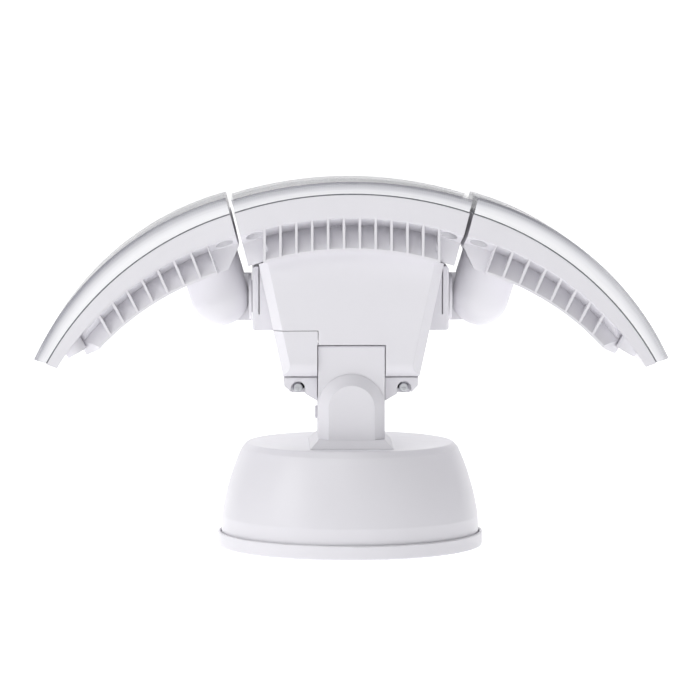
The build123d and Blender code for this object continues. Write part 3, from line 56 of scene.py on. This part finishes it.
# The light panels' arcs in the XZ plane, as centre x, centre z and radius; the right panel mirrors the left.
LENS_ARCS = {"centre": (0.0, -0.0177, 0.2000), "left": (-0.0242, 0.0350, 0.1445)}
BAND_ARCS = {"centre": (0.0, -0.0080, 0.1732), "left": (-0.0206, 0.0163, 0.1445)}
LENS_WALL = 0.0020
LENS_SIDE_Y = 0.0355        # inner side of the lens's long walls
CHIP_BASE_RISE = 0.0050     # above the band's arc, between the board's face and the tops of its chips
PRISM_PITCH = 0.0011
PRISM_HEIGHT = 0.00045
RIDGE_DEPTH = 0.0035        # the ridges fade out this far below the lens's front
LENS_HEIGHT = 0.0064        # from the lens's front to the gasket, at mid panel
LENS_END_WALLS = 2.2        # the prism sheet stops this many walls short of the lens's ends
EDGE_SOFTNESS = 0.00035

# Noise values rarely leave this span, so ramps and colours are spread over it.
NOISE_LOW, NOISE_HIGH = 0.3, 0.7

# A clear lens seen from its long side, given painted shade: tones from its front, at 0, to the gasket, at 1,
# dark at the front and pale towards the gasket, standing in for the shade seen through the clear plastic.
LENS_PAINTED_SHADE_TONES = [
    (0.0, (0.36, 0.36, 0.41)), (0.14, (0.47, 0.47, 0.52)), (0.32, (0.62, 0.62, 0.66)),
    (0.60, (0.86, 0.86, 0.89)), (1.0, (0.95, 0.95, 0.97)),
]
# Scales of painted streaks of light and shade, standing in for light bent by the clear walls.
LENS_PAINTED_STREAKS = {"depth": 700.0, "X": 10.0, "Y": 60.0}
PAINTED_STREAK_WANDER = 0.75        # how far the painted streaks of light and shade shift the tones
RIDGE_PAINTED_LIGHT = 0.07           # how far the ridges shift them, as painted light and shade on the prism ridges
FRONT_COVER = (0.60, 0.34)  # opacity of the curved front, from the darker painted streaks to the paler ones
SIDE_COVER, SIDE_COVER_RISE = 0.36, 0.20

# Sockets of a Mix node set to colours.
MIX_FIRST, MIX_SECOND, MIX_RESULT = 6, 7, 2

# The floor runs from -FLOOR_REACH to FLOOR_REACH and bends up into the backdrop.
FLOOR_REACH = 9.0
BACKDROP_RISE = 4.5
BACKDROP_BEND = 2.5
BEND_STEPS = 24
FLOOR_GAP = 0.0004          # under the wall face
FLOOR_GLOW = 0.66
WORLD_STRENGTH = 0.27
WORLD_COLOUR = (0.985, 0.985, 1.0, 1.0)

# Each soft light's place, size and power; all aim where the camera aims.
LIGHTS = {
    "key_left": ((-2.2, -1.2, 1.1), (1.2, 1.4), 13.0),
    "front_top": ((-0.35, -0.9, 0.85), (0.7, 0.35), 1.5),
    "top": ((-0.3, 0.1, 2.2), (1.8, 1.4), 14.0),
    "back": ((0.0, 2.4, 1.6), (2.4, 1.4), 12.0),
}


# ---------------------------------------------------------------- shader helpers
class Shader:
    """A node material with short calls for the nodes used here."""

    def __init__(self, name):
        self.material = bpy.data.materials.new(name)
        self.material.use_nodes = True
        self.tree = self.material.node_tree
        self.surface = self.tree.nodes["Principled BSDF"]
        self.place = self.add("ShaderNodeTexCoord").outputs["Object"]

    def add(self, kind, **settings):
        node = self.tree.nodes.new(kind)
        for key, value in settings.items():
            setattr(node, key, value)
        return node

    def link(self, source, target):
        self.tree.links.new(source, target)

    def set(self, **values):
        for key, value in values.items():
            self.surface.inputs[key.replace("_", " ")].default_value = value

    def stretched(self, scale):
        mapping = self.add("ShaderNodeMapping")
        mapping.inputs["Scale"].default_value = scale
        self.link(self.place, mapping.inputs["Vector"])
        return mapping.outputs["Vector"]

    def noise(self, scale, detail=3.0, roughness=0.5, place=None):
        node = self.add("ShaderNodeTexNoise")
        node.inputs["Scale"].default_value = scale
        node.inputs["Detail"].default_value = detail
        node.inputs["Roughness"].default_value = roughness
        self.link(place or self.place, node.inputs["Vector"])
        return node.outputs["Fac"]

    def ramp(self, value, low, high):
        node = self.add("ShaderNodeMapRange")
        node.inputs["From Min"].default_value = NOISE_LOW
        node.inputs["From Max"].default_value = NOISE_HIGH
        node.inputs["To Min"].default_value = low
        node.inputs["To Max"].default_value = high
        self.link(value, node.inputs["Value"])
        return node.outputs["Result"]

    def colours(self, value, low, high):
        node = self.add("ShaderNodeValToRGB")
        node.color_ramp.elements[0].position = NOISE_LOW
        node.color_ramp.elements[1].position = NOISE_HIGH
        node.color_ramp.elements[0].color = (*low, 1.0)
        node.color_ramp.elements[1].color = (*high, 1.0)
        self.link(value, node.inputs["Fac"])
        self.link(node.outputs["Color"], self.surface.inputs["Base Color"])

    def maths(self, operation, *values):
        node = self.add("ShaderNodeMath", operation=operation)
        for place, value in zip(node.inputs, values):
            if isinstance(value, float):
                place.default_value = value
            else:
                self.link(value, place)
        return node.outputs["Value"]

    def axis(self, name):
        node = self.add("ShaderNodeSeparateXYZ")
        self.link(self.place, node.inputs["Vector"])
        return node.outputs[name]

    def radius(self, arc):
        """Distance from an arc's centre line, which runs along Y."""
        across = self.maths("SUBTRACT", self.axis("X"), arc[0])
        along = self.maths("SUBTRACT", self.axis("Z"), arc[1])
        return self.maths("SQRT", self.maths("ADD", self.maths("MULTIPLY", across, across),
                                             self.maths("MULTIPLY", along, along)))

    def angle(self, arc):
        """Turn round an arc's centre line, in radians from the vertical."""
        across = self.maths("SUBTRACT", self.axis("X"), arc[0])
        along = self.maths("SUBTRACT", self.axis("Z"), arc[1])
        return self.maths("ARCTAN2", across, along)

    def vector(self, x, y, z):
        node = self.add("ShaderNodeCombineXYZ")
        for place, value in zip(node.inputs, (x, y, z)):
            self.link(value, place)
        return node.outputs["Vector"]

    def soft_edges(self):
        """Normals rounded over sharp edges, to carry a thin highlight."""
        node = self.add("ShaderNodeBevel")
        node.samples = 3
        node.inputs["Radius"].default_value = EDGE_SOFTNESS
        return node.outputs["Normal"]

    def bump(self, height, depth, strength=1.0, before=None):
        node = self.add("ShaderNodeBump")
        node.inputs["Distance"].default_value = depth
        node.inputs["Strength"].default_value = strength
        self.link(height, node.inputs["Height"])
        if before is not None:
            self.link(before, node.inputs["Normal"])
        self.link(node.outputs["Normal"], self.surface.inputs["Normal"])
        return node.outputs["Normal"]


def shade(colour, factor):
    return tuple(min(1.0, c * factor) for c in colour)


def moulded(name, colour, roughness, grain, grain_depth, coat=0.0):
    """Injection-moulded plastic: fine tool texture, slow shade drift and uneven gloss."""
    s = Shader(name)
    s.colours(s.noise(18.0, 2.0), shade(colour, 0.985), shade(colour, 1.01))
    s.link(s.ramp(s.noise(160.0, 4.0), roughness - 0.04, roughness + 0.05), s.surface.inputs["Roughness"])
    slow = s.bump(s.noise(55.0, 1.0), 0.00010, 0.35, s.soft_edges())
    s.bump(s.noise(grain, 2.0), grain_depth, 1.0, slow)
    s.set(IOR=1.5, Coat_Weight=coat, Coat_Roughness=0.06)
    return s.material


def powder_coat(name, colour):
    """Cast metal under white powder paint: orange peel and a soft sheen."""
    s = Shader(name)
    s.colours(s.noise(24.0, 3.0), shade(colour, 0.98), shade(colour, 1.01))
    s.link(s.ramp(s.noise(220.0, 4.0), 0.36, 0.46), s.surface.inputs["Roughness"])
    casting = s.bump(s.noise(90.0, 2.0), 0.00020, 0.4, s.soft_edges())
    s.bump(s.noise(1500.0, 2.0), 0.00004, 0.8, casting)
    s.set(IOR=1.5)
    return s.material


def stops(s, value, places):
    """The colour at value on a ramp given as a list of (place, colour) stops."""
    node = s.add("ShaderNodeValToRGB")
    ramp = node.color_ramp
    while len(ramp.elements) < len(places):
        ramp.elements.new(0.5)
    for element, (place, colour) in zip(ramp.elements, places):
        element.position = place
        element.color = (*colour, 1.0)
    s.link(value, node.inputs["Fac"])
    return node.outputs["Color"]


def clear_plastic_with_painted_shade(name, arc):
    """Clear polycarbonate with painted shade: darker near the curved front, paler towards the gasket, with
    fine prism ridges and painted streaks of light and shade.
    """
    s = Shader(name)
    depth = s.maths("SUBTRACT", arc[2], s.radius(arc))
    painted_streaks = s.noise(1.0, 5.0, 0.65, s.vector(
        s.maths("MULTIPLY", depth, LENS_PAINTED_STREAKS["depth"]),
        s.maths("MULTIPLY", s.axis("X"), LENS_PAINTED_STREAKS["X"]),
        s.maths("MULTIPLY", s.axis("Y"), LENS_PAINTED_STREAKS["Y"])))
    ridges = s.maths("SINE", s.maths("MULTIPLY", s.angle(arc), 2.0 * pi * arc[2] / PRISM_PITCH))
    near_front = s.maths("SUBTRACT", 1.0, s.maths("MULTIPLY", depth, 1.0 / RIDGE_DEPTH))
    ridges = s.maths("MULTIPLY", ridges, s.maths("MAXIMUM", near_front, 0.0))
    # Painted streaks of light and shade move the tones lighter and darker.
    painted_streak_shift = s.maths("MULTIPLY", s.maths("SUBTRACT", painted_streaks, 0.5), PAINTED_STREAK_WANDER)
    place = s.maths("ADD", s.maths("MULTIPLY", depth, 1.0 / LENS_HEIGHT), painted_streak_shift)
    # Painted light and shade on the prism ridges: lighter and darker bands across the tones.
    place = s.maths("ADD", place, s.maths("MULTIPLY", ridges, RIDGE_PAINTED_LIGHT))
    # Painted shade: the base colour runs from dark at the curved front to pale at the gasket, standing in
    # for shade seen through the clear plastic.
    s.link(stops(s, place, LENS_PAINTED_SHADE_TONES), s.surface.inputs["Base Color"])
    s.link(s.ramp(s.noise(90.0, 3.0), 0.05, 0.12), s.surface.inputs["Roughness"])
    face = s.add("ShaderNodeNewGeometry")
    split = s.add("ShaderNodeSeparateXYZ")
    s.link(face.outputs["True Normal"], split.inputs["Vector"])
    # The opacity lets the painted shade tones show over the lens, more on its long side walls.
    side = s.maths("POWER", s.maths("ABSOLUTE", split.outputs["Y"]), 2.0)
    cover = s.maths("ADD", SIDE_COVER, s.maths("MULTIPLY", place, SIDE_COVER_RISE))
    front = s.ramp(painted_streaks, *FRONT_COVER)
    s.link(s.maths("ADD", front, s.maths("MULTIPLY", side, cover)), s.surface.inputs["Alpha"])
    height = s.maths("ADD", s.noise(120.0, 2.0), s.maths("MULTIPLY", ridges, 0.6))
    s.bump(height, 0.00010, 0.6)
    s.set(IOR=1.58)
    return s.material


def led_board(name, arc):
    """White solder mask, with yellow phosphor on the chips that stand above it."""
    s = Shader(name)
    above = s.maths("GREATER_THAN", s.radius(arc), arc[2] + CHIP_BASE_RISE)
    mix = s.add("ShaderNodeMix", data_type="RGBA")
    mask = s.noise(500.0, 3.0)
    white = s.add("ShaderNodeValToRGB")
    white.color_ramp.elements[0].color = (0.70, 0.70, 0.68, 1.0)
    white.color_ramp.elements[1].color = (0.84, 0.84, 0.83, 1.0)
    s.link(mask, white.inputs["Fac"])
    yellow = s.add("ShaderNodeValToRGB")
    yellow.color_ramp.elements[0].color = (0.72, 0.50, 0.06, 1.0)
    yellow.color_ramp.elements[1].color = (0.86, 0.68, 0.14, 1.0)
    s.link(mask, yellow.inputs["Fac"])
    s.link(above, mix.inputs["Factor"])
    s.link(white.outputs["Color"], mix.inputs[MIX_FIRST])
    s.link(yellow.outputs["Color"], mix.inputs[MIX_SECOND])
    s.link(mix.outputs[MIX_RESULT], s.surface.inputs["Base Color"])
    s.link(s.ramp(mask, 0.35, 0.5), s.surface.inputs["Roughness"])
    s.bump(mask, 0.00003, 0.5)
    return s.material


def rubber(name, colour):
    s = Shader(name)
    s.colours(s.noise(400.0, 4.0), shade(colour, 0.8), shade(colour, 1.2))
    s.link(s.ramp(s.noise(900.0, 2.0), 0.7, 0.9), s.surface.inputs["Roughness"])
    s.bump(s.noise(3000.0, 2.0), 0.00006)
    return s.material


def plated_steel(name, colour):
    s = Shader(name)
    grain = s.noise(900.0, 3.0, 0.6, s.stretched((1.0, 1.0, 0.15)))
    s.colours(grain, shade(colour, 0.85), shade(colour, 1.1))
    s.link(s.ramp(grain, 0.24, 0.42), s.surface.inputs["Roughness"])
    s.bump(grain, 0.00002, 0.5)
    s.set(Metallic=0.95)
    return s.material


def solder_mask(name, colour, trace):
    """Board lacquer over square copper traces."""
    s = Shader(name)
    bricks = s.add("ShaderNodeTexBrick")
    bricks.inputs["Scale"].default_value = 140.0
    bricks.inputs["Mortar Size"].default_value = 0.05
    bricks.inputs["Color1"].default_value = (*colour, 1.0)
    bricks.inputs["Color2"].default_value = (*shade(colour, 0.9), 1.0)
    bricks.inputs["Mortar"].default_value = (*trace, 1.0)
    s.link(s.place, bricks.inputs["Vector"])
    s.link(bricks.outputs["Color"], s.surface.inputs["Base Color"])
    s.bump(bricks.outputs["Fac"], 0.00004, 0.6)
    s.link(s.ramp(s.noise(300.0), 0.25, 0.4), s.surface.inputs["Roughness"])
    return s.material


def tinted_glass(name, colour, alpha):
    s = Shader(name)
    s.colours(s.noise(60.0), shade(colour, 0.85), shade(colour, 1.15))
    s.link(s.ramp(s.noise(200.0), 0.02, 0.06), s.surface.inputs["Roughness"])
    s.set(IOR=1.52, Alpha=alpha, Coat_Weight=1.0, Coat_Roughness=0.02)
    return s.material


WHITE = (0.805, 0.795, 0.832)
MATERIALS = {
    "white_plastic": moulded("white_plastic", WHITE, 0.36, 2600.0, 0.000018),
    "gloss_white": moulded("gloss_white", WHITE, 0.32, 2600.0, 0.000006),
    "heat_sink_white": powder_coat("heat_sink_white", WHITE),
    "reflector_white": moulded("reflector_white", (0.88, 0.88, 0.89), 0.18, 1200.0, 0.000006, coat=0.2),
    "seal_rubber": rubber("seal_rubber", (0.22, 0.23, 0.25)),
    "green_board": solder_mask("green_board", (0.03, 0.17, 0.08), (0.10, 0.30, 0.14)),
    "black_plastic": moulded("black_plastic", (0.018, 0.018, 0.02), 0.40, 2200.0, 0.00002),
    "steel": plated_steel("steel", (0.62, 0.63, 0.65)),
    "window_glass": tinted_glass("window_glass", (0.012, 0.012, 0.016), 0.72),
    "lens_glass": tinted_glass("lens_glass", (0.02, 0.02, 0.06), 0.6),
    "motion_white": moulded("motion_white", (0.82, 0.82, 0.83), 0.30, 700.0, 0.00003),
    "foam": rubber("foam", (0.05, 0.05, 0.055)),
}


def mirrored(arc):
    return -arc[0], arc[1], arc[2]


PANELS = ("centre", "left", "right")
LENS_ARCS["right"] = mirrored(LENS_ARCS["left"])
BAND_ARCS["right"] = mirrored(BAND_ARCS["left"])
CLEAR = {side: clear_plastic_with_painted_shade(f"clear_cover_{side}", LENS_ARCS[side]) for side in PANELS}
BOARDS = {side: led_board(f"board_{side}", BAND_ARCS[side]) for side in PANELS}


def material_of(part):
    slot = part["material_slot"]
    side = part["node"].split("_")[0]
    if slot == "clear_cover":
        return CLEAR[side]
    if slot == "board":
        return BOARDS[side]
    return MATERIALS[slot]


def paint_nodes():
    """Every CAD node takes the material of its slot in the record."""
    for part in frame["record"]["subparts"]:
        node = NODES[part["node"]]
        for place in node.material_slots:
            place.material = material_of(part)
        if not node.material_slots:
            node.data.materials.append(material_of(part))


# ---------------------------------------------------------------- optics inside the lenses
def lens_angles(side):
    """Angles of the lens's ends round its arc, from the lens node's own box."""
    low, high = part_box(f"{side}_lens")
    centre_x, centre_z, radius = LENS_ARCS[side]
    ends = []
    for x in (low.x, high.x):
        share = max(-1.0, min(1.0, (x - centre_x) / radius))
        ends.append(asin(share))
    margin = LENS_END_WALLS * LENS_WALL / radius
    return ends[0] + margin, ends[1] - margin


def make_prisms(side):
    """Sheet of fine prism ridges under the lens's curved front, running in depth."""
    centre_x, centre_z, radius = LENS_ARCS[side]
    start, end = lens_angles(side)
    inner = radius - LENS_WALL
    count = int((end - start) * inner / PRISM_PITCH)
    mesh = bmesh.new()
    rows = []
    for step in range(2 * count + 1):
        turn = start + (end - start) * step / (2 * count)
        reach = inner - (PRISM_HEIGHT if step % 2 else 0.0)
        x, z = centre_x + reach * sin(turn), centre_z + reach * cos(turn)
        rows.append([mesh.verts.new((x, y, z)) for y in (-LENS_SIDE_Y, LENS_SIDE_Y)])
    for near, far in zip(rows, rows[1:]):
        mesh.faces.new((near[0], far[0], far[1], near[1]))
    data = bpy.data.meshes.new(f"{side}_lens_prisms")
    mesh.to_mesh(data)
    mesh.free()
    data.materials.append(CLEAR[side])
    sheet = bpy.data.objects.new(f"{side}_lens_prisms", data)
    bpy.context.scene.collection.objects.link(sheet)
    body = "head" if side == "centre" else f"{side}_wing"
    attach(sheet, body)


# ---------------------------------------------------------------- stage, lights, camera
def floor_material():
    s = Shader("floor")
    s.colours(s.noise(3.0, 2.0), (0.94, 0.94, 0.945), (0.95, 0.95, 0.955))
    s.set(Roughness=0.7, Emission_Color=(1.0, 1.0, 1.0, 1.0), Emission_Strength=FLOOR_GLOW)
    return s.material


def make_stage():
    """A pale floor that sweeps up into a backdrop far behind the object."""
    bend_start = FLOOR_REACH - BACKDROP_BEND
    outline = [(-FLOOR_REACH, 0.0), (bend_start, 0.0)]
    for step in range(1, BEND_STEPS + 1):
        turn = pi / 2 * step / BEND_STEPS
        outline.append((bend_start + BACKDROP_BEND * sin(turn), BACKDROP_BEND - BACKDROP_BEND * cos(turn)))
    outline.append((FLOOR_REACH, BACKDROP_BEND + BACKDROP_RISE))
    mesh = bmesh.new()
    rows = []
    for y, z in outline:
        rows.append([mesh.verts.new((x, y, z - FLOOR_GAP)) for x in (-FLOOR_REACH, FLOOR_REACH)])
    for low, high in zip(rows, rows[1:]):
        mesh.faces.new((low[0], low[1], high[1], high[0]))
    data = bpy.data.meshes.new("floor")
    mesh.to_mesh(data)
    mesh.free()
    for face in data.polygons:
        face.use_smooth = True
    data.materials.append(floor_material())
    floor = bpy.data.objects.new("floor", data)
    bpy.context.scene.collection.objects.link(floor)


def soft_light(name, place, size, power):
    light = bpy.data.lights.new(name, "AREA")
    light.shape = "RECTANGLE"
    light.size, light.size_y = size
    light.energy = power
    lamp = bpy.data.objects.new(name, light)
    lamp.location = place
    aim = Vector(CAMERA_AIM) - Vector(place)
    lamp.rotation_euler = aim.to_track_quat("-Z", "Y").to_euler()
    bpy.context.scene.collection.objects.link(lamp)


def make_lights():
    for name, (place, size, power) in LIGHTS.items():
        soft_light(name, place, size, power)
    world = bpy.data.worlds.new("studio")
    world.use_nodes = True
    world.node_tree.nodes["Background"].inputs["Color"].default_value = WORLD_COLOUR
    world.node_tree.nodes["Background"].inputs["Strength"].default_value = WORLD_STRENGTH
    bpy.context.scene.world = world
    bpy.context.scene.view_settings.view_transform = "Standard"


def make_camera():
    camera = bpy.data.cameras.new("camera")
    camera.lens = CAMERA_LENS
    camera.sensor_width = SENSOR
    camera.clip_start, camera.clip_end = CAMERA_NEAR, CAMERA_FAR
    holder = bpy.data.objects.new("camera", camera)
    turn = radians(CAMERA_AZIMUTH)
    holder.location = (CAMERA_DISTANCE * sin(turn), -CAMERA_DISTANCE * cos(turn), CAMERA_HEIGHT)
    aim = Vector(CAMERA_AIM) - holder.location
    holder.rotation_euler = aim.to_track_quat("-Z", "Y").to_euler()
    bpy.context.scene.collection.objects.link(holder)
    bpy.context.scene.camera = holder


paint_nodes()
for panel_side in PANELS:
    make_prisms(panel_side)
make_stage()
make_lights()
make_camera()
